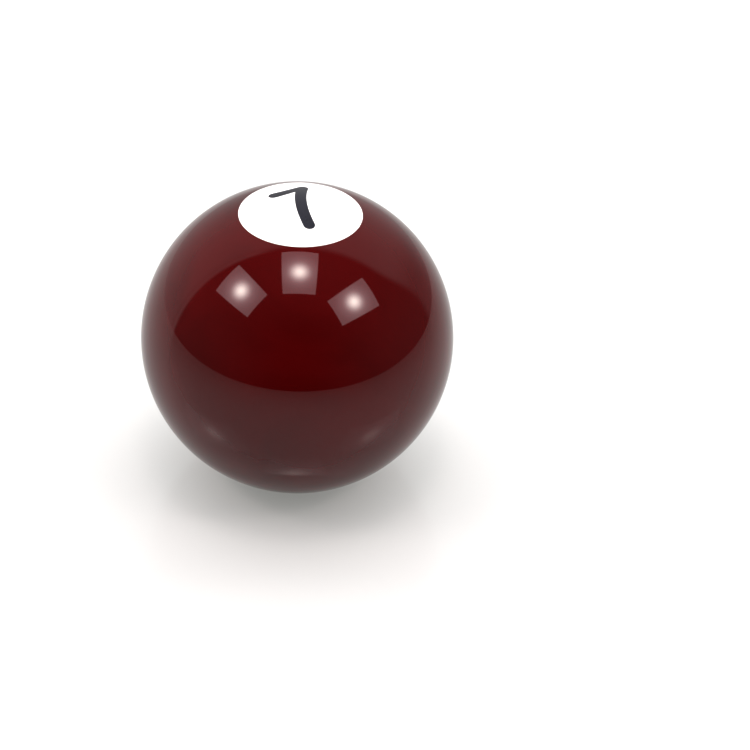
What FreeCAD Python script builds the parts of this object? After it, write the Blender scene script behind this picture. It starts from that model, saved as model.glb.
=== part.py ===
import FreeCAD, Part
import math
import os

# Gear-lever knob made from a numbered billiard ball.
# The knob stands on its flat: the origin is the centre of the flat, +Z runs up through the number.
# Lengths are in millimetres. Threads are plain cylinders: fits between pieces of this knob are at
# the pitch diameter, and the lever's thread is at its minor diameter, the wall that a lever meets.

# Ball. It stands on a flat ring, the rim of resin left round the bore.
ball_diameter = 57.15
flat_rim = 1.0

# White disc let into the top, and the figure 7 let into the disc. The figure's bar and stem are
# measured along the middle of the pen stroke, and the stem bows out of the line from corner to foot.
disc_diameter = 22.0
disc_rim_depth = 2.6
numeral_depth = 0.9
numeral_pen_width = 2.1
numeral_bar_length = 5.8
numeral_height = 11.4
numeral_stem_offset = 5.1
numeral_stem_bow = 0.85
numeral_turn_deg = 30.0
numeral_offset_x = 0.6

# Brass insert bonded into the ball. Its wall is measured outside the plain thread bore.
insert_wall = 1.75
insert_end_wall = 2.0
insert_edge_chamfer = 0.4
insert_plain_land = 4.0
groove_count = 3
groove_width = 1.2
groove_depth = 0.45
flute_count = 16
flute_radius = 0.5
bond_thickness = 0.25

# Thread between the insert and the adapter, M12 x 1.75
adapter_thread_diameter = 12.0
adapter_thread_pitch = 1.75
thread_clearance = 0.05
insert_mouth_chamfer = 0.6

# Adapter for an M8 x 1.25 lever
adapter_length = 18.0
adapter_end_chamfer = 0.5
lever_thread_diameter = 8.0
lever_thread_pitch = 1.25
lever_mouth_chamfer = 0.6
driver_slot_width = 1.7
driver_slot_depth = 1.5

# Ratios of a 60 degree metric thread
PITCH_DIAMETER_DROP = 0.6495
MINOR_DIAMETER_DROP = 1.0825

ball_radius = ball_diameter / 2
pitch_radius = (adapter_thread_diameter - PITCH_DIAMETER_DROP * adapter_thread_pitch) / 2
insert_bore_radius = pitch_radius + thread_clearance
insert_radius = insert_bore_radius + insert_wall
insert_length = adapter_length + insert_end_wall
bore_radius = insert_radius + bond_thickness
bore_length = insert_length + bond_thickness
flat_radius = bore_radius + flat_rim
ball_centre_z = math.sqrt(ball_radius ** 2 - flat_radius ** 2)
disc_radius = disc_diameter / 2
disc_floor_z = ball_centre_z + math.sqrt(ball_radius ** 2 - disc_radius ** 2) - disc_rim_depth
lever_bore_radius = (lever_thread_diameter - MINOR_DIAMETER_DROP * lever_thread_pitch) / 2

UP = FreeCAD.Vector(0, 0, 1)


def at_height(z):
    return FreeCAD.Vector(0, 0, z)


def round_bar(radius, length, z=0.0):
    return Part.makeCylinder(radius, length, at_height(z), UP)


def sphere(radius):
    return Part.makeSphere(radius, at_height(ball_centre_z))


def chamfered_bar(radius, length, chamfer):
    """A round bar standing on z = 0 with the same chamfer on both ends."""
    outline = [
        (0, 0),
        (radius - chamfer, 0),
        (radius, chamfer),
        (radius, length - chamfer),
        (radius - chamfer, length),
        (0, length),
    ]
    points = [FreeCAD.Vector(r, 0, z) for r, z in outline]
    face = Part.Face(Part.makePolygon(points + points[:1]))
    return face.revolve(at_height(0), UP, 360)


def mouth_chamfer(bore, chamfer, z, upward):
    """The cone that opens a bore out at one end; the bore runs up from z, or down from z."""
    base = at_height(z)
    direction = UP if upward else -UP
    return Part.makeCone(bore + chamfer, bore, chamfer, base, direction)


def numeral_outline():
    """The outline of an upright figure 7 drawn with a round pen, with its box centred on the origin."""
    half_bar = numeral_bar_length / 2
    half_height = numeral_height / 2
    bar_end = FreeCAD.Vector(-half_bar, half_height, 0)
    corner = FreeCAD.Vector(half_bar, half_height, 0)
    foot = FreeCAD.Vector(half_bar - numeral_stem_offset, -half_height, 0)
    chord = foot - corner
    bow = FreeCAD.Vector(chord.y, -chord.x, 0).normalize() * numeral_stem_bow
    bar = Part.LineSegment(bar_end, corner).toShape()
    stem = Part.Arc(corner, (corner + foot) / 2 + bow, foot).toShape()
    pen_line = Part.Wire([bar, stem])
    round_joins = 0
    return pen_line.makeOffset2D(numeral_pen_width / 2, round_joins, False, False, False)


def numeral_prism():
    prism = Part.Face(numeral_outline()).extrude(at_height(ball_diameter))
    prism.rotate(at_height(0), UP, numeral_turn_deg)
    prism.translate(FreeCAD.Vector(numeral_offset_x, 0, ball_centre_z))
    return prism


def make_numeral_seven():
    skin = sphere(ball_radius).cut(sphere(ball_radius - numeral_depth))
    return numeral_prism().common(skin)


def make_number_disc(numeral):
    plug = round_bar(disc_radius, ball_radius, disc_floor_z)
    return plug.common(sphere(ball_radius)).cut(numeral)


def make_ball_body():
    ball = sphere(ball_radius)
    above_flat = round_bar(ball_diameter, 2 * ball_diameter)
    disc_recess = round_bar(disc_radius, ball_radius, disc_floor_z)
    bore = round_bar(bore_radius, bore_length)
    return ball.common(above_flat).cut([disc_recess, bore])


def retention_grooves():
    """Rings that the epoxy fills, evenly spaced, so that the insert can't be pulled out."""
    grooves = []
    for number in range(groove_count):
        base = (number + 1) * insert_length / (groove_count + 1) - groove_width / 2
        ring = round_bar(bore_radius, groove_width, base)
        grooves.append(ring.cut(round_bar(insert_radius - groove_depth, groove_width, base)))
    return grooves


def barrel_flutes():
    """Hollows along the barrel above the plain lower land, so that the insert can't turn."""
    flutes = []
    for number in range(flute_count):
        angle = 2 * math.pi * number / flute_count
        x = insert_radius * math.cos(angle)
        y = insert_radius * math.sin(angle)
        start = FreeCAD.Vector(x, y, insert_plain_land)
        flutes.append(Part.makeCylinder(flute_radius, insert_length - insert_plain_land, start, UP))
    return flutes


def make_threaded_insert():
    barrel = chamfered_bar(insert_radius, insert_length, insert_edge_chamfer)
    thread_bore = round_bar(insert_bore_radius, adapter_length)
    mouth = mouth_chamfer(insert_bore_radius, insert_mouth_chamfer, 0, True)
    return barrel.cut(retention_grooves() + barrel_flutes() + [thread_bore, mouth])


def make_insert_bond(insert):
    filled_bore = round_bar(bore_radius, bore_length)
    insert_hollow = round_bar(insert_bore_radius + insert_mouth_chamfer, adapter_length)
    return filled_bore.cut([insert, insert_hollow])


def make_lever_adapter():
    sleeve = chamfered_bar(pitch_radius, adapter_length, adapter_end_chamfer)
    bore = round_bar(lever_bore_radius, adapter_length)
    low_mouth = mouth_chamfer(lever_bore_radius, lever_mouth_chamfer, 0, True)
    high_mouth = mouth_chamfer(lever_bore_radius, lever_mouth_chamfer, adapter_length, False)
    slot = Part.makeBox(
        adapter_thread_diameter,
        driver_slot_width,
        driver_slot_depth,
        FreeCAD.Vector(-adapter_thread_diameter / 2, -driver_slot_width / 2, 0),
    )
    return sleeve.cut([bore, low_mouth, high_mouth, slot])


def build():
    numeral = make_numeral_seven()
    insert = make_threaded_insert()
    return {
        "ball_body": make_ball_body(),
        "number_disc": make_number_disc(numeral),
        "numeral_seven": numeral,
        "threaded_insert": insert,
        "insert_bond": make_insert_bond(insert),
        "lever_adapter": make_lever_adapter(),
    }


os.makedirs("parts", exist_ok=True)
for node, shape in build().items():
    shape.exportStep(os.path.join("parts", node + ".step"))
    solids = len(shape.Solids)
    print(f"{node}: {solids} solid(s), {shape.Volume:.1f} mm3, valid {shape.isValid()}")
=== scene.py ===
import math

import bmesh
import bpy
from mathutils import Matrix, Vector
from mathutils.geometry import delaunay_2d_cdt


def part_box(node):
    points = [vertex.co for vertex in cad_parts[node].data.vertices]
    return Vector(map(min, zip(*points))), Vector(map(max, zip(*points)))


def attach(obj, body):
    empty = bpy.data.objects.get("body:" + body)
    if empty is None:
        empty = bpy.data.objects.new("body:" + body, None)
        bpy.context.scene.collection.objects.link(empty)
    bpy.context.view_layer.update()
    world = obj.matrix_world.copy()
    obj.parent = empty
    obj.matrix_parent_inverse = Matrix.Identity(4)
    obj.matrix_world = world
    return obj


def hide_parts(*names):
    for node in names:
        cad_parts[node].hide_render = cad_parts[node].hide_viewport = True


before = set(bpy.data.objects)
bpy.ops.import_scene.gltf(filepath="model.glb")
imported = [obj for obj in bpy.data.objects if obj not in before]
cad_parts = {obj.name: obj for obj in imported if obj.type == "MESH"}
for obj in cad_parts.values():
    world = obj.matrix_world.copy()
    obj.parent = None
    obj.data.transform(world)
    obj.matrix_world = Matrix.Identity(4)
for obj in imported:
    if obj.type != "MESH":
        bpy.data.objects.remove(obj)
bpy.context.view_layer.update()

# ---------------------------------------------------------------- sizes, in metres

MM = 0.001
DISC_LOW, DISC_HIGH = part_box("number_disc")
INSERT_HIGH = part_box("threaded_insert")[1]
BOND_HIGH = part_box("insert_bond")[1]
ADAPTER_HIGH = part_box("lever_adapter")[1]

BALL_RADIUS = 57.15 / 2 * MM
BALL_CENTRE_Z = DISC_HIGH.z - BALL_RADIUS
FLAT_RADIUS = math.sqrt(BALL_RADIUS ** 2 - BALL_CENTRE_Z ** 2)
BORE_RADIUS = BOND_HIGH.x
BORE_TOP_Z = BOND_HIGH.z
SEAM_EDGE = 0.04 * MM

DISC_RADIUS = DISC_HIGH.x
DISC_FLOOR_Z = DISC_LOW.z
NUMERAL_PEN_RADIUS = 2.1 / 2 * MM
NUMERAL_BAR_LENGTH = 5.8 * MM
NUMERAL_HEIGHT = 11.4 * MM
NUMERAL_STEM_OFFSET = 5.1 * MM
NUMERAL_STEM_BOW = 0.85 * MM
NUMERAL_TURN = math.radians(30)
NUMERAL_OFFSET_X = 0.6 * MM
NUMERAL_DEPTH = 0.9 * MM

INSERT_RADIUS = INSERT_HIGH.x
INSERT_TOP_Z = INSERT_HIGH.z
INSERT_CHAMFER = 0.4 * MM
INSERT_LAND = 4.0 * MM
INSERT_MOUTH_RADIUS = 6.25 * MM
GROOVE_COUNT = 3
GROOVE_WIDTH = 1.2 * MM
GROOVE_DEPTH = 0.45 * MM
FLUTE_COUNT = 16
FLUTE_RADIUS = 0.5 * MM

ADAPTER_TOP_Z = ADAPTER_HIGH.z
ADAPTER_THREAD_RADIUS = 6.0 * MM
ADAPTER_THREAD_PITCH = 1.75 * MM
THREAD_CLEARANCE = 0.05 * MM
LEVER_THREAD_RADIUS = 4.0 * MM
LEVER_THREAD_PITCH = 1.25 * MM
LEVER_MOUTH_RADIUS = 4.15 * MM
SLOT_WIDTH = 1.7 * MM
SLOT_DEPTH = 1.5 * MM
THREAD_CHAMFER = 0.6 * ADAPTER_THREAD_PITCH

# How finely curves are cut into steps
BALL_SEGMENTS = 288
BALL_ARC_STEPS = 150
CURVE_SEGMENTS = 96
FLUTE_SEGMENTS = 16
PEN_END_STEPS = 16
STEM_STEPS = 24
CORNER_STEPS = 12
WELD_DISTANCE = 0.0005 * MM


# ---------------------------------------------------------------- mesh making

def piece_from_bmesh(name, bm, sharp_degrees=30):
    """A mesh object with smooth faces, split where two faces meet at more than the given angle."""
    bmesh.ops.recalc_face_normals(bm, faces=bm.faces)
    limit = math.radians(sharp_degrees)
    for face in bm.faces:
        face.smooth = True
    for edge in bm.edges:
        edge.smooth = len(edge.link_faces) == 2 and edge.calc_face_angle() < limit
    mesh = bpy.data.meshes.new(name)
    bm.to_mesh(mesh)
    bm.free()
    obj = bpy.data.objects.new(name, mesh)
    bpy.context.scene.collection.objects.link(obj)
    return obj


def arc_outline(radius, centre_z, start_angle, end_angle, steps):
    """Outline points (r, z) on a circle about a point on the axis; angles are measured up from level."""
    points = []
    for step in range(steps + 1):
        angle = start_angle + (end_angle - start_angle) * step / steps
        points.append((radius * math.cos(angle), centre_z + radius * math.sin(angle)))
    return points


def turned(outline, segments, dent=None):
    """A bmesh turned about Z from an outline of (r, z) points that starts and ends on the axis.
    dent(angle, r, z) may give a smaller radius at a point."""
    bm = bmesh.new()
    rings = []
    for r, z in outline:
        if r == 0:
            rings.append([bm.verts.new((0, 0, z))])
            continue
        ring = []
        for k in range(segments):
            angle = 2 * math.pi * k / segments
            radius = dent(angle, r, z) if dent else r
            ring.append(bm.verts.new((radius * math.cos(angle), radius * math.sin(angle), z)))
        rings.append(ring)
    for first, second in zip(rings, rings[1:]):
        for k in range(segments):
            after = (k + 1) % segments
            if len(first) == 1:
                bm.faces.new((first[0], second[k], second[after]))
            elif len(second) == 1:
                bm.faces.new((first[k], first[after], second[0]))
            else:
                bm.faces.new((first[k], first[after], second[after], second[k]))
    return bm


# One turn of a 60 degree thread with softened corners: (share of the pitch, depth in pitches)
THREAD_PROFILE = (
    (0.04, 0.0),
    (0.08, 0.03),
    (0.36, 0.515),
    (0.42, 0.541),
    (0.58, 0.541),
    (0.64, 0.515),
    (0.92, 0.03),
    (0.96, 0.0),
)


def threaded_rod(name, radius, pitch, low, high, segments=CURVE_SEGMENTS):
    """A closed rod with a right-hand thread that runs past low and high by at least a pitch."""
    bm = bmesh.new()
    per_turn = len(THREAD_PROFILE)
    turns = math.ceil((high - low) / pitch) + 3
    start = low - 2 * pitch
    columns = []
    for k in range(segments):
        angle = 2 * math.pi * k / segments
        column = []
        for row in range(turns * per_turn + 1):
            share, depth = THREAD_PROFILE[row % per_turn]
            z = start + pitch * (row // per_turn + share + k / segments)
            r = radius - depth * pitch
            column.append(bm.verts.new((r * math.cos(angle), r * math.sin(angle), z)))
        columns.append(column)
    last = columns[-1]
    for left, right in zip(columns, columns[1:]):
        for row in range(len(left) - 1):
            bm.faces.new((left[row], right[row], right[row + 1], left[row + 1]))
    first = columns[0]
    for row in range(len(last) - 1 - per_turn):
        bm.faces.new((last[row], first[row + per_turn], first[row + per_turn + 1], last[row + 1]))
    bottom = [column[0] for column in columns] + [first[row] for row in range(per_turn, 0, -1)]
    top_row = len(last) - 1
    top = [column[top_row] for column in columns]
    top = [first[top_row]] + top[1:] + [last[top_row - step] for step in range(1, per_turn + 1)]
    for loop in (bottom, top):
        middle = sum((v.co for v in loop), Vector()) / len(loop)
        hub = bm.verts.new((0, 0, middle.z))
        for one, other in zip(loop, loop[1:] + loop[:1]):
            bm.faces.new((hub, one, other))
    return piece_from_bmesh(name, bm)


def combine(target, operation, tool):
    """Applies a Boolean of tool to target's mesh and removes the tool."""
    modifier = target.modifiers.new("cut", "BOOLEAN")
    modifier.operation = operation
    modifier.solver = "EXACT"
    modifier.object = tool
    depsgraph = bpy.context.evaluated_depsgraph_get()
    mesh = bpy.data.meshes.new_from_object(target.evaluated_get(depsgraph))
    target.modifiers.clear()
    target.data = mesh
    bpy.data.objects.remove(tool)


def keep_main_shell(bm):
    """Deletes every stray patch of faces, and leaves the shell with the most faces."""
    unseen = set(bm.faces)
    shells = []
    while unseen:
        waiting = [unseen.pop()]
        shell = []
        while waiting:
            face = waiting.pop()
            shell.append(face)
            for edge in face.edges:
                if len(edge.link_faces) == 2:
                    beside = unseen.intersection(edge.link_faces)
                    unseen -= beside
                    waiting += beside
        shells.append(shell)
    shells.sort(key=len)
    stray = [face for shell in shells[:-1] for face in shell]
    bmesh.ops.delete(bm, geom=stray, context="FACES")


def finish_cut_piece(obj, sharp_degrees=35):
    """Cleans a cut mesh and gives it smooth faces with sharp corners."""
    bm = bmesh.new()
    bm.from_mesh(obj.data)
    bmesh.ops.remove_doubles(bm, verts=bm.verts, dist=WELD_DISTANCE)
    bmesh.ops.triangulate(bm, faces=bm.faces)
    keep_main_shell(bm)
    name = obj.name
    bpy.data.objects.remove(obj)
    clean = piece_from_bmesh(name + "_clean", bm, sharp_degrees)
    clean.name = name
    return clean


def turned_tool(outline, segments=CURVE_SEGMENTS):
    return piece_from_bmesh("tool", turned(outline, segments))


# ---------------------------------------------------------------- ball

def make_ball_shell():
    """The maroon ball with its flat ring, blind bore and disc recess, closed all round."""
    rim_angle = math.acos(DISC_RADIUS / BALL_RADIUS)
    flat_angle = -math.acos(FLAT_RADIUS / BALL_RADIUS)
    rim_z = BALL_CENTRE_Z + BALL_RADIUS * math.sin(rim_angle)
    outline = [(0, DISC_FLOOR_Z), (DISC_RADIUS / 2, DISC_FLOOR_Z), (DISC_RADIUS, DISC_FLOOR_Z)]
    outline.append((DISC_RADIUS, rim_z - SEAM_EDGE))
    seam_angle = rim_angle - SEAM_EDGE / BALL_RADIUS
    outline += arc_outline(BALL_RADIUS, BALL_CENTRE_Z, seam_angle, flat_angle, BALL_ARC_STEPS)
    outline.append((BORE_RADIUS + SEAM_EDGE, 0))
    outline.append((BORE_RADIUS, SEAM_EDGE))
    outline += [(BORE_RADIUS, BORE_TOP_Z), (BORE_RADIUS / 2, BORE_TOP_Z), (0, BORE_TOP_Z)]
    return piece_from_bmesh("ball_shell", turned(outline, BALL_SEGMENTS))


# ---------------------------------------------------------------- disc and figure

def numeral_line():
    """The pen line of an upright figure 7: bar end, corner, foot, and the stem's arc centre and radius."""
    half_bar = NUMERAL_BAR_LENGTH / 2
    half_height = NUMERAL_HEIGHT / 2
    bar_end = Vector((-half_bar, half_height))
    corner = Vector((half_bar, half_height))
    foot = Vector((half_bar - NUMERAL_STEM_OFFSET, -half_height))
    chord = foot - corner
    bow_side = Vector((chord.y, -chord.x)).normalized()
    radius = (chord.length ** 2 / 4 + NUMERAL_STEM_BOW ** 2) / (2 * NUMERAL_STEM_BOW)
    centre = (corner + foot) / 2 + bow_side * (NUMERAL_STEM_BOW - radius)
    return bar_end, corner, foot, centre, radius


def heading(point, centre):
    """Direction of point from centre, from 0 to a full turn."""
    return math.atan2(point.y - centre.y, point.x - centre.x) % (2 * math.pi)


def sweep(centre, radius, start, end, steps):
    """Points along a circle, both ends included."""
    points = []
    for step in range(steps + 1):
        angle = start + (end - start) * step / steps
        points.append(centre + Vector((math.cos(angle), math.sin(angle))) * radius)
    return points


def numeral_outline():
    """Points anticlockwise round the figure 7, as a round pen draws it."""
    bar_end, corner, foot, centre, radius = numeral_line()
    start = heading(corner, centre)
    end = heading(foot, centre)
    quarter = math.pi / 2
    under_bar = corner.y - NUMERAL_PEN_RADIUS
    outer = radius + NUMERAL_PEN_RADIUS
    inner_reach = math.sqrt(outer ** 2 - (under_bar - centre.y) ** 2)
    inner_corner = Vector((centre.x - inner_reach, under_bar))
    inner_start = heading(inner_corner, centre)
    points = sweep(bar_end, NUMERAL_PEN_RADIUS, quarter, 3 * quarter, PEN_END_STEPS)
    points += sweep(centre, outer, inner_start, end, STEM_STEPS)
    points += sweep(foot, NUMERAL_PEN_RADIUS, end, end + math.pi, PEN_END_STEPS)[1:-1]
    points += sweep(centre, radius - NUMERAL_PEN_RADIUS, end, start, STEM_STEPS)
    points += sweep(corner, NUMERAL_PEN_RADIUS, start - math.pi, quarter, CORNER_STEPS)[1:]
    return points


def pen_distance(point):
    """Distance from a point to the figure's pen line."""
    bar_end, corner, foot, centre, radius = numeral_line()
    along = min(max(point.x, bar_end.x), corner.x)
    to_bar = (point - Vector((along, corner.y))).length
    angle = heading(point, centre)
    if heading(corner, centre) <= angle <= heading(foot, centre):
        to_stem = abs((point - centre).length - radius)
    else:
        to_stem = min((point - corner).length, (point - foot).length)
    return min(to_bar, to_stem)


def on_disc(point):
    """Turns a point of the upright figure to its place on the disc."""
    turn = Matrix.Rotation(NUMERAL_TURN, 2)
    return turn @ point + Vector((NUMERAL_OFFSET_X, 0))


def off_disc(point):
    """The other way: a place on the disc to the upright figure's own frame."""
    turn = Matrix.Rotation(-NUMERAL_TURN, 2)
    return turn @ (point - Vector((NUMERAL_OFFSET_X, 0)))


def disc_triangles():
    """The disc seen from above, cut into triangles that follow the figure's outline.
    Gives the points, the triangles outside the figure and those inside it."""
    rim_steps = BALL_SEGMENTS
    grid = 0.55 * MM
    keep_off = 0.22 * MM
    figure = [on_disc(p) for p in numeral_outline()]
    rim = sweep(Vector((0, 0)), DISC_RADIUS - SEAM_EDGE, 0, 2 * math.pi, rim_steps)[:-1]
    points = figure + rim
    edges = [(k, (k + 1) % len(figure)) for k in range(len(figure))]
    edges += [(len(figure) + k, len(figure) + (k + 1) % rim_steps) for k in range(rim_steps)]
    rows = math.ceil(DISC_RADIUS / grid)
    for row in range(-rows, rows + 1):
        for column in range(-rows, rows + 1):
            spot = Vector(((column + 0.5 * (row % 2)) * grid, row * grid * math.sqrt(0.75)))
            near_rim = spot.length > DISC_RADIUS - 2 * keep_off
            near_figure = abs(pen_distance(off_disc(spot)) - NUMERAL_PEN_RADIUS) < keep_off
            if not near_rim and not near_figure:
                points.append(spot)
    made = delaunay_2d_cdt(points, edges, [], 0, 1e-9)
    points, triangles = made[0], made[2]
    outside = []
    inside = []
    for triangle in triangles:
        centroid = sum((points[k] for k in triangle), Vector((0, 0))) / 3
        chosen = inside if pen_distance(off_disc(centroid)) < NUMERAL_PEN_RADIUS else outside
        chosen.append(triangle)
    return points, outside, inside


def add_skin(bm, points, triangles, depth):
    """Adds triangles on the ball's surface, or depth under it, and gives the vertices by index."""
    made = {}
    radius = BALL_RADIUS - depth
    for triangle in triangles:
        for k in triangle:
            if k not in made:
                p = points[k]
                z = BALL_CENTRE_Z + math.sqrt(radius ** 2 - p.length_squared)
                made[k] = bm.verts.new((p.x, p.y, z))
        bm.faces.new([made[k] for k in triangle])
    return made


def open_edges(triangles):
    """Edges that only one of the triangles has."""
    count = {}
    for a, b, c in triangles:
        for edge in ((a, b), (b, c), (c, a)):
            key = tuple(sorted(edge))
            count[key] = count.get(key, 0) + 1
    return [edge for edge, uses in count.items() if uses == 1]


def make_disc_and_numeral():
    points, outside, inside = disc_triangles()

    bm = bmesh.new()
    top = add_skin(bm, points, inside, 0)
    floor = add_skin(bm, points, inside, NUMERAL_DEPTH)
    for a, b in open_edges(inside):
        bm.faces.new((top[a], top[b], floor[b], floor[a]))
    numeral = piece_from_bmesh("numeral_inlay", bm)

    bm = bmesh.new()
    top = add_skin(bm, points, outside, 0)
    floor = add_skin(bm, points, inside, NUMERAL_DEPTH)
    for a, b in open_edges(inside):
        bm.faces.new((top[a], top[b], floor[b], floor[a]))
    rim = [v for k, v in top.items() if points[k].length > DISC_RADIUS - 2 * SEAM_EDGE]
    rim.sort(key=lambda v: math.atan2(v.co.y, v.co.x))
    upper = rim
    rim_z = rim[0].co.z
    for radius, z in ((DISC_RADIUS, rim_z - SEAM_EDGE), (DISC_RADIUS, DISC_FLOOR_Z)):
        lower = []
        for v in rim:
            angle = math.atan2(v.co.y, v.co.x)
            lower.append(bm.verts.new((radius * math.cos(angle), radius * math.sin(angle), z)))
        for k in range(len(rim)):
            after = (k + 1) % len(rim)
            bm.faces.new((upper[k], upper[after], lower[after], lower[k]))
        upper = lower
    hub = bm.verts.new((0, 0, DISC_FLOOR_Z))
    for k in range(len(upper)):
        bm.faces.new((hub, upper[k], upper[(k + 1) % len(upper)]))
    disc = piece_from_bmesh("disc_inlay", bm)
    return disc, numeral


# ---------------------------------------------------------------- brass

def make_insert_bush():
    """The bonded bush: grooved and fluted outside, with the inside thread cut up to a blind end."""
    outline = [(0, 0), (INSERT_RADIUS / 2, 0), (INSERT_RADIUS - INSERT_CHAMFER, 0)]
    outline.append((INSERT_RADIUS, INSERT_CHAMFER))
    for number in range(GROOVE_COUNT):
        low = (number + 1) * INSERT_TOP_Z / (GROOVE_COUNT + 1) - GROOVE_WIDTH / 2
        outline += [
            (INSERT_RADIUS, low),
            (INSERT_RADIUS - GROOVE_DEPTH, low),
            (INSERT_RADIUS - GROOVE_DEPTH, low + GROOVE_WIDTH),
            (INSERT_RADIUS, low + GROOVE_WIDTH),
        ]
    top = INSERT_TOP_Z
    outline += [(INSERT_RADIUS, top - INSERT_CHAMFER), (INSERT_RADIUS - INSERT_CHAMFER, top), (0, top)]

    def flute(angle, r, z):
        spacing = 2 * math.pi / FLUTE_COUNT
        off_centre = (angle + spacing / 2) % spacing - spacing / 2
        side = abs(off_centre) * INSERT_RADIUS
        if z < INSERT_LAND or side >= FLUTE_RADIUS:
            return r
        return min(r, INSERT_RADIUS - math.sqrt(FLUTE_RADIUS ** 2 - side ** 2))

    bush = piece_from_bmesh("insert_bush", turned(outline, FLUTE_COUNT * FLUTE_SEGMENTS, flute))
    radius = ADAPTER_THREAD_RADIUS + THREAD_CLEARANCE
    cutter = threaded_rod("cutter", radius, ADAPTER_THREAD_PITCH, 0, ADAPTER_TOP_Z)
    stop = [(0, -MM), (2 * radius, -MM), (2 * radius, ADAPTER_TOP_Z), (0, ADAPTER_TOP_Z)]
    combine(cutter, "INTERSECT", turned_tool(stop))
    combine(bush, "DIFFERENCE", cutter)
    mouth = [(0, -MM), (INSERT_MOUTH_RADIUS + MM, -MM), (0, INSERT_MOUTH_RADIUS)]
    combine(bush, "DIFFERENCE", turned_tool(mouth))
    return finish_cut_piece(bush)


def make_adapter_sleeve():
    """The reducing sleeve: threaded outside and inside, chamfered, with a driver slot in its lower end."""
    radius = ADAPTER_THREAD_RADIUS - THREAD_CLEARANCE
    sleeve = threaded_rod("adapter_sleeve", radius, ADAPTER_THREAD_PITCH, 0, ADAPTER_TOP_Z)
    top = ADAPTER_TOP_Z
    blank = [
        (0, 0),
        (radius - THREAD_CHAMFER, 0),
        (radius, THREAD_CHAMFER),
        (radius + MM, THREAD_CHAMFER + MM),
        (radius + MM, top - THREAD_CHAMFER - MM),
        (radius, top - THREAD_CHAMFER),
        (radius - THREAD_CHAMFER, top),
        (0, top),
    ]
    combine(sleeve, "INTERSECT", turned_tool(blank))
    bore = threaded_rod("bore", LEVER_THREAD_RADIUS, LEVER_THREAD_PITCH, -MM, top + MM)
    combine(sleeve, "DIFFERENCE", bore)
    low_mouth = [(0, -MM), (LEVER_MOUTH_RADIUS + MM, -MM), (0, LEVER_MOUTH_RADIUS)]
    high_mouth = [(0, top - LEVER_MOUTH_RADIUS), (LEVER_MOUTH_RADIUS + MM, top + MM), (0, top + MM)]
    combine(sleeve, "DIFFERENCE", turned_tool(low_mouth))
    combine(sleeve, "DIFFERENCE", turned_tool(high_mouth))
    bm = bmesh.new()
    place = Matrix.Translation((0, 0, SLOT_DEPTH / 2 - MM / 2))
    size = Matrix.Diagonal((3 * ADAPTER_THREAD_RADIUS, SLOT_WIDTH, SLOT_DEPTH + MM, 1))
    bmesh.ops.create_cube(bm, size=1, matrix=place @ size)
    combine(sleeve, "DIFFERENCE", piece_from_bmesh("slot", bm))
    return finish_cut_piece(sleeve)


# ---------------------------------------------------------------- shader groups

class Nodes:
    """Short calls for building one node tree."""

    def __init__(self, tree):
        self.tree = tree

    def add(self, kind, **settings):
        node = self.tree.nodes.new(kind)
        for name, value in settings.items():
            setattr(node, name, value)
        return node

    def link(self, source, target):
        self.tree.links.new(source, target)

    def noise(self, vector, scale, detail=3.0, roughness=0.5):
        node = self.add("ShaderNodeTexNoise")
        node.inputs["Scale"].default_value = scale
        node.inputs["Detail"].default_value = detail
        node.inputs["Roughness"].default_value = roughness
        self.link(vector, node.inputs["Vector"])
        return node.outputs["Fac"]

    def maths(self, operation, first, second, clamp=False):
        node = self.add("ShaderNodeMath", operation=operation, use_clamp=clamp)
        for socket, value in zip(node.inputs, (first, second)):
            if isinstance(value, (int, float)):
                socket.default_value = value
            else:
                self.link(value, socket)
        return node.outputs[0]

    def blend(self, base, amount, weight):
        """base + amount x weight"""
        return self.maths("ADD", self.maths("MULTIPLY", amount, weight), base)

    def ramp(self, value, low, high, to_low=0.0, to_high=1.0):
        node = self.add("ShaderNodeMapRange", interpolation_type="SMOOTHSTEP")
        for name, number in (("From Min", low), ("From Max", high), ("To Min", to_low), ("To Max", to_high)):
            if isinstance(number, (int, float)):
                node.inputs[name].default_value = number
            else:
                self.link(number, node.inputs[name])
        self.link(value, node.inputs["Value"])
        return node.outputs["Result"]

    def mix(self, factor, first, second):
        node = self.add("ShaderNodeMix", data_type="RGBA")
        for socket, value in ((node.inputs[0], factor), (node.inputs[6], first), (node.inputs[7], second)):
            if isinstance(value, (int, float, tuple)):
                socket.default_value = value
            else:
                self.link(value, socket)
        return node.outputs[2]


def new_group(name, inputs, outputs):
    """A shader node group with named sockets; inputs are (name, kind, default), outputs (name, kind)."""
    tree = bpy.data.node_groups.new(name, "ShaderNodeTree")
    for socket_name, kind, default in inputs:
        socket = tree.interface.new_socket(socket_name, in_out="INPUT", socket_type=kind)
        socket.default_value = default
    for socket_name, kind in outputs:
        tree.interface.new_socket(socket_name, in_out="OUTPUT", socket_type=kind)
    nodes = Nodes(tree)
    return tree, nodes, nodes.add("NodeGroupInput").outputs, nodes.add("NodeGroupOutput").inputs


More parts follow.
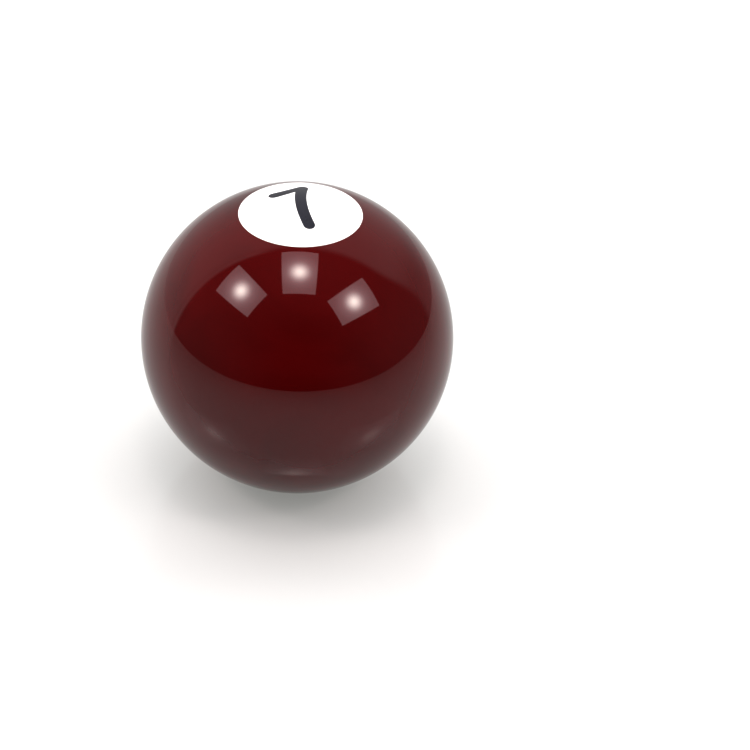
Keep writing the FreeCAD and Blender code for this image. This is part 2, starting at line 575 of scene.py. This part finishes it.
def make_handling_group():
    """Fine polishing scratches and the dull smears that fingers leave."""
    tree, nodes, given, out = new_group(
        "handling_marks",
        [("Polish", "NodeSocketFloat", 0.04), ("Smear", "NodeSocketFloat", 0.05),
         ("Scale", "NodeSocketFloat", 60.0)],
        [("Roughness", "NodeSocketFloat"), ("Height", "NodeSocketFloat")],
    )
    place = nodes.add("ShaderNodeTexCoord").outputs["Object"]
    smear_noise = nodes.add("ShaderNodeTexNoise")
    smear_noise.inputs["Detail"].default_value = 4.0
    nodes.link(place, smear_noise.inputs["Vector"])
    nodes.link(given["Scale"], smear_noise.inputs["Scale"])
    smear = nodes.ramp(smear_noise.outputs["Fac"], 0.48, 0.72)
    stretch = nodes.add("ShaderNodeMapping")
    stretch.inputs["Rotation"].default_value = (0.5, 0.3, 0.9)
    stretch.inputs["Scale"].default_value = (40.0, 900.0, 900.0)
    nodes.link(place, stretch.inputs["Vector"])
    hairline = nodes.ramp(nodes.noise(stretch.outputs["Vector"], 4.0, 2.0), 0.66, 0.74)
    grit = nodes.noise(place, 9000.0, 2.0)
    dulled = nodes.maths("MULTIPLY", smear, given["Smear"])
    lined = nodes.maths("MULTIPLY", hairline, 0.05)
    rough = nodes.maths("ADD", nodes.maths("ADD", given["Polish"], dulled), lined)
    nodes.link(rough, out["Roughness"])
    fine = nodes.maths("MULTIPLY", grit, 0.25)
    nodes.link(nodes.maths("SUBTRACT", fine, nodes.maths("MULTIPLY", hairline, 0.5)), out["Height"])
    return tree


def make_casting_group():
    """The faint cloudy swirl of cast resin, between two close colours."""
    tree, nodes, given, out = new_group(
        "casting_swirl",
        [("Deep", "NodeSocketColor", (0, 0, 0, 1)), ("Light", "NodeSocketColor", (1, 1, 1, 1)),
         ("Scale", "NodeSocketFloat", 50.0)],
        [("Color", "NodeSocketColor")],
    )
    place = nodes.add("ShaderNodeTexCoord").outputs["Object"]
    swirl = nodes.add("ShaderNodeTexNoise")
    swirl.inputs["Detail"].default_value = 5.0
    swirl.inputs["Distortion"].default_value = 1.2
    nodes.link(place, swirl.inputs["Vector"])
    nodes.link(given["Scale"], swirl.inputs["Scale"])
    amount = nodes.ramp(swirl.outputs["Fac"], 0.3, 0.7)
    nodes.link(nodes.mix(amount, given["Deep"], given["Light"]), out["Color"])
    return tree


def make_turning_group():
    """Tool marks round a turned piece, and the tarnish that gathers in patches."""
    tree, nodes, given, out = new_group(
        "turning_marks",
        [("Bright", "NodeSocketColor", (0.8, 0.6, 0.3, 1)), ("Tarnish", "NodeSocketColor", (0.4, 0.25, 0.1, 1)),
         ("Spread", "NodeSocketFloat", 0.5)],
        [("Color", "NodeSocketColor"), ("Roughness", "NodeSocketFloat"), ("Height", "NodeSocketFloat")],
    )
    place = nodes.add("ShaderNodeTexCoord").outputs["Object"]
    split = nodes.add("ShaderNodeSeparateXYZ")
    nodes.link(place, split.inputs[0])
    flat = nodes.add("ShaderNodeCombineXYZ")
    nodes.link(split.outputs["X"], flat.inputs["X"])
    nodes.link(split.outputs["Y"], flat.inputs["Y"])
    reach = nodes.add("ShaderNodeVectorMath", operation="LENGTH")
    nodes.link(flat.outputs[0], reach.inputs[0])
    ring = nodes.add("ShaderNodeCombineXYZ")
    nodes.link(reach.outputs["Value"], ring.inputs["X"])
    nodes.link(split.outputs["Z"], ring.inputs["Z"])
    marks = nodes.noise(ring.outputs[0], 9000.0, 2.0)
    patches = nodes.noise(place, 350.0, 5.0, 0.6)
    shown = nodes.ramp(patches, given["Spread"], 0.8)
    nodes.link(nodes.mix(shown, given["Bright"], given["Tarnish"]), out["Color"])
    rough = nodes.maths("ADD", nodes.maths("MULTIPLY", marks, 0.16), nodes.maths("MULTIPLY", shown, 0.2))
    nodes.link(nodes.maths("ADD", rough, 0.1), out["Roughness"])
    nodes.link(marks, out["Height"])
    return tree


# ---------------------------------------------------------------- materials

RESIN_IOR = 1.55


def new_material(name):
    material = bpy.data.materials.new(name)
    material.use_nodes = True
    nodes = Nodes(material.node_tree)
    shader = material.node_tree.nodes["Principled BSDF"]
    return material, nodes, shader


def place_group(nodes, tree, **values):
    node = nodes.add("ShaderNodeGroup", node_tree=tree)
    for name, value in values.items():
        node.inputs[name].default_value = value
    return node.outputs


def bump(nodes, shader, height, strength, distance):
    node = nodes.add("ShaderNodeBump")
    node.inputs["Strength"].default_value = strength
    node.inputs["Distance"].default_value = distance
    nodes.link(height, node.inputs["Height"])
    nodes.link(node.outputs["Normal"], shader.inputs["Normal"])


def resin_material(name, deep, light, swirl_scale, polish, smear):
    material, nodes, shader = new_material(name)
    cast = place_group(nodes, CASTING, Deep=deep, Light=light, Scale=swirl_scale)
    handling = place_group(nodes, HANDLING, Polish=polish, Smear=smear)
    nodes.link(cast["Color"], shader.inputs["Base Color"])
    nodes.link(handling["Roughness"], shader.inputs["Roughness"])
    shader.inputs["IOR"].default_value = RESIN_IOR
    bump(nodes, shader, handling["Height"], 0.15, 0.002 * MM)
    return material


def brass_material(name, bright, tarnish, spread):
    material, nodes, shader = new_material(name)
    turning = place_group(nodes, TURNING, Bright=bright, Tarnish=tarnish, Spread=spread)
    nodes.link(turning["Color"], shader.inputs["Base Color"])
    nodes.link(turning["Roughness"], shader.inputs["Roughness"])
    shader.inputs["Metallic"].default_value = 1.0
    bump(nodes, shader, turning["Height"], 0.3, 0.01 * MM)
    return material


def epoxy_material():
    material, nodes, shader = new_material("cured_epoxy")
    cast = place_group(nodes, CASTING, Deep=(0.34, 0.2, 0.07, 1), Light=(0.5, 0.34, 0.15, 1), Scale=300.0)
    handling = place_group(nodes, HANDLING, Polish=0.28, Smear=0.2)
    nodes.link(cast["Color"], shader.inputs["Base Color"])
    nodes.link(handling["Roughness"], shader.inputs["Roughness"])
    bump(nodes, shader, handling["Height"], 0.5, 0.01 * MM)
    return material


# ---------------------------------------------------------------- pieces

def dress(piece, body, slot, material, *nodes):
    """Gives a new piece its finish and its body, and hides the CAD nodes that it stands for."""
    piece.data.materials.clear()
    piece.data.materials.append(material)
    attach(piece, body)
    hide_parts(*nodes)


HANDLING = make_handling_group()
CASTING = make_casting_group()
TURNING = make_turning_group()

MAROON = ((0.076, 0.0008, 0.0012, 1), (0.096, 0.0014, 0.002, 1))
WHITE = ((0.8, 0.795, 0.78, 1), (0.85, 0.845, 0.835, 1))
BLACK = ((0.014, 0.014, 0.022, 1), (0.022, 0.022, 0.034, 1))

maroon = resin_material("maroon_resin", *MAROON, swirl_scale=40.0, polish=0.035, smear=0.03)
white = resin_material("white_resin", *WHITE, swirl_scale=60.0, polish=0.04, smear=0.03)
black = resin_material("black_resin", *BLACK, swirl_scale=60.0, polish=0.04, smear=0.03)
bush_brass = brass_material("faced_brass", (0.78, 0.55, 0.24, 1), (0.5, 0.32, 0.13, 1), 0.45)
sleeve_brass = brass_material("bright_brass", (0.86, 0.64, 0.3, 1), (0.58, 0.38, 0.16, 1), 0.55)
epoxy = epoxy_material()

disc_inlay, numeral_inlay = make_disc_and_numeral()
dress(make_ball_shell(), "knob", "maroon_resin", maroon, "ball_body")
dress(disc_inlay, "knob", "white_resin", white, "number_disc")
dress(numeral_inlay, "knob", "black_resin", black, "numeral_seven")
dress(make_insert_bush(), "knob", "insert_brass", bush_brass, "threaded_insert")
dress(make_adapter_sleeve(), "adapter", "adapter_brass", sleeve_brass, "lever_adapter")
for material_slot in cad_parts["insert_bond"].material_slots:
    material_slot.material = epoxy


# ---------------------------------------------------------------- stage
# This isn't one physical light set-up: rays from the camera, mirrored rays and matt rays meet
# different strengths, so that the floor stays plain and pale.

BALL_CENTRE = Vector((0, 0, BALL_CENTRE_Z))
FLOOR_RADIUS = 0.42
FLOOR_GAP = 0.01 * MM
TABLE_GLOW = 0.28
TABLE_GLOW_COLOUR = (0.97, 1.0, 0.955, 1)
TABLE_ROUGHNESS = 0.05
TABLE_IOR = 1.45
TABLE_WHITE = 0.41
TABLE_WHITE_REFLECTED = 0.3
PANEL_DISTANCE = 1.5
PANEL_RIM = 2.1
PANEL_BODY = 2.4
PANEL_PEAK = 16.0
PANEL_BODY_COLOUR = (1.1, 0.98, 1.02, 1)
PANEL_PEAK_COLOUR = (1.0, 0.93, 0.87, 1)
PANEL_OVAL = (0.7, 1.0, 1.0)
PEAK_REACH = 0.34
BODY_REACH = (0.05, 0.5)
ROOM_LIGHT = 0.01
ROOM_SIDE_LIGHT = 0.15
ROOM_TOP_LIGHT = 0.12
BACKDROP_LIGHT = 0.7
BACKDROP_EDGE = 0.2
BACKDROP_FADE = (0.06, 0.1)
BACKDROP_SHIFT = -0.2
BACKDROP_DIM_SHARE = 0.5
RIGHT_SIDE = (0.3, 0.9)
LOW_DOWN = (0.7, 0.0)
STREAK_LIGHT = 0.4
STREAK_WIDTH = 0.05
STREAK_SIDE = (-0.2, -0.5)
TOP_FILL = 1.6
SIDE_FILL = 1.6
BACK_FILL = 2.6
CAMERA_SEES = 1.05
VIEW_GAMMA = 0.8


def make_floor():
    bm = bmesh.new()
    bmesh.ops.create_circle(bm, cap_ends=True, segments=CURVE_SEGMENTS, radius=FLOOR_RADIUS)
    floor = piece_from_bmesh("studio_floor", bm)
    material, nodes, shader = new_material("lit_white_acrylic")
    seen = nodes.add("ShaderNodeLightPath").outputs["Is Camera Ray"]
    nodes.link(nodes.ramp(seen, 0.0, 1.0, TABLE_WHITE_REFLECTED, TABLE_WHITE), shader.inputs["Base Color"])
    shader.inputs["Roughness"].default_value = TABLE_ROUGHNESS
    shader.inputs["IOR"].default_value = TABLE_IOR
    shader.inputs["Emission Color"].default_value = TABLE_GLOW_COLOUR
    shader.inputs["Emission Strength"].default_value = TABLE_GLOW
    clear_from_below = nodes.add("ShaderNodeMixShader")
    nodes.link(nodes.add("ShaderNodeNewGeometry").outputs["Backfacing"], clear_from_below.inputs[0])
    nodes.link(shader.outputs[0], clear_from_below.inputs[1])
    nodes.link(nodes.add("ShaderNodeBsdfTransparent").outputs[0], clear_from_below.inputs[2])
    nodes.link(clear_from_below.outputs[0], material.node_tree.nodes["Material Output"].inputs["Surface"])
    floor.data.materials.append(material)
    floor.location.z = -FLOOR_GAP


def glow_material():
    """A softbox face: a bright oval at its middle, and a dimmer rim. Its face runs from -0.5 to 0.5."""
    material = bpy.data.materials.new("softbox_glow")
    material.use_nodes = True
    material.node_tree.nodes.clear()
    nodes = Nodes(material.node_tree)
    squeeze = nodes.add("ShaderNodeVectorMath", operation="MULTIPLY")
    squeeze.inputs[1].default_value = PANEL_OVAL
    nodes.link(nodes.add("ShaderNodeTexCoord").outputs["Object"], squeeze.inputs[0])
    reach = nodes.add("ShaderNodeVectorMath", operation="LENGTH")
    nodes.link(squeeze.outputs[0], reach.inputs[0])
    near = nodes.ramp(reach.outputs["Value"], 0.0, PEAK_REACH, 1.0, 0.0)
    peak = nodes.maths("MULTIPLY", nodes.maths("POWER", near, 2.0), PANEL_PEAK)
    body = nodes.ramp(reach.outputs["Value"], *BODY_REACH, PANEL_BODY, 0.0)
    glow = nodes.add("ShaderNodeEmission")
    nodes.link(nodes.mix(near, PANEL_BODY_COLOUR, PANEL_PEAK_COLOUR), glow.inputs["Color"])
    nodes.link(nodes.maths("ADD", nodes.maths("ADD", peak, body), PANEL_RIM), glow.inputs["Strength"])
    nodes.link(glow.outputs[0], nodes.add("ShaderNodeOutputMaterial").inputs["Surface"])
    return material


def make_softbox(name, direction, long_axis, width, length):
    """A glowing panel that faces the ball; width and length are its size seen from one metre away."""
    bm = bmesh.new()
    bmesh.ops.create_grid(bm, x_segments=2, y_segments=2, size=0.5)
    panel = piece_from_bmesh(name, bm)
    away = Vector(direction).normalized()
    side = Vector(long_axis).cross(away).normalized()
    along = away.cross(side)
    turn = Matrix((side, along, away)).transposed().to_4x4()
    size = Matrix.Diagonal((width * PANEL_DISTANCE, length * PANEL_DISTANCE, 1, 1))
    panel.matrix_world = Matrix.Translation(BALL_CENTRE + away * PANEL_DISTANCE) @ turn @ size
    panel.data.materials.append(SOFTBOX_GLOW)
    panel.visible_camera = False


def make_world():
    """White surroundings with a dim room on the camera's side. The camera itself sees only white,
    and matt surfaces get extra light from above, behind and both sides."""
    world = bpy.data.worlds.new("studio")
    bpy.context.scene.world = world
    world.use_nodes = True
    world.node_tree.nodes.clear()
    nodes = Nodes(world.node_tree)
    split = nodes.add("ShaderNodeSeparateXYZ")
    nodes.link(nodes.add("ShaderNodeTexCoord").outputs["Generated"], split.inputs[0])
    x, y, z = split.outputs
    sideways = nodes.maths("MULTIPLY", x, x)
    upward = nodes.maths("POWER", nodes.maths("MAXIMUM", z, 0.0), 4.0)
    right_low = nodes.maths("MULTIPLY", nodes.ramp(x, *RIGHT_SIDE), nodes.ramp(z, *LOW_DOWN))
    fade_start = BACKDROP_EDGE - BACKDROP_FADE[0]
    fade_end = BACKDROP_EDGE + BACKDROP_FADE[1]
    past_edge = nodes.ramp(nodes.blend(y, right_low, BACKDROP_SHIFT), fade_start, fade_end)

    room = nodes.blend(nodes.blend(ROOM_LIGHT, sideways, ROOM_SIDE_LIGHT), upward, ROOM_TOP_LIGHT)
    backdrop = nodes.ramp(right_low, 0.0, 1.0, BACKDROP_LIGHT, BACKDROP_DIM_SHARE * BACKDROP_LIGHT)
    off_edge = nodes.maths("ABSOLUTE", nodes.maths("SUBTRACT", y, BACKDROP_EDGE), 0.0)
    near_edge = nodes.ramp(off_edge, 0.0, STREAK_WIDTH, 1.0, 0.0)
    streak = nodes.maths("MULTIPLY", near_edge, nodes.ramp(x, *STREAK_SIDE))
    light = nodes.blend(nodes.ramp(past_edge, 0.0, 1.0, room, backdrop), streak, STREAK_LIGHT)

    path = nodes.add("ShaderNodeLightPath").outputs
    fill = nodes.blend(nodes.maths("MULTIPLY", upward, TOP_FILL), sideways, SIDE_FILL)
    fill = nodes.blend(fill, past_edge, BACK_FILL)
    light = nodes.maths("ADD", light, nodes.maths("MULTIPLY", fill, path["Is Diffuse Ray"]))
    seen = nodes.ramp(path["Is Camera Ray"], 0.0, 1.0, light, CAMERA_SEES)
    background = nodes.add("ShaderNodeBackground")
    background.inputs["Color"].default_value = (1, 1, 1, 1)
    nodes.link(seen, background.inputs["Strength"])
    nodes.link(background.outputs[0], nodes.add("ShaderNodeOutputWorld").inputs["Surface"])


SOFTBOX_GLOW = glow_material()
make_floor()
make_softbox("softbox_centre", (0.005, -0.14, 0.97), (0, -1, 0), 0.41, 0.59)
make_softbox("softbox_left", (-0.63, -0.21, 0.74), (0.46, -0.88, 0.08), 0.37, 0.6)
make_softbox("softbox_right", (0.62, -0.31, 0.71), (-0.56, -0.82, 0.12), 0.36, 0.6)
make_world()


# ---------------------------------------------------------------- camera

CAMERA_DISTANCE = 14.5 * BALL_RADIUS
CAMERA_ELEVATION = math.radians(34.25)
CAMERA_ROLL = math.radians(1.4)
CAMERA_LENS = 108.4
CAMERA_NEAR = 0.01
CAMERA_FAR = 20
AIM_RIGHT = 14.2 * MM
AIM_DOWN = 6.9 * MM


def make_camera():
    camera = bpy.data.objects.new("camera", bpy.data.cameras.new("camera"))
    bpy.context.scene.collection.objects.link(camera)
    back = Vector((0, -math.cos(CAMERA_ELEVATION), math.sin(CAMERA_ELEVATION)))
    place = BALL_CENTRE + back * CAMERA_DISTANCE
    facing = (-back).to_track_quat("-Z", "Y").to_matrix() @ Matrix.Rotation(CAMERA_ROLL, 3, "Z")
    aim = BALL_CENTRE + facing @ Vector((AIM_RIGHT, -AIM_DOWN, 0))
    turn = (-back).rotation_difference(aim - place).to_matrix()
    camera.matrix_world = Matrix.Translation(place) @ (turn @ facing).to_4x4()
    camera.data.lens = CAMERA_LENS
    camera.data.clip_start = CAMERA_NEAR
    camera.data.clip_end = CAMERA_FAR
    bpy.context.scene.camera = camera


make_camera()
bpy.context.scene.view_settings.view_transform = "Standard"
bpy.context.scene.view_settings.gamma = VIEW_GAMMA
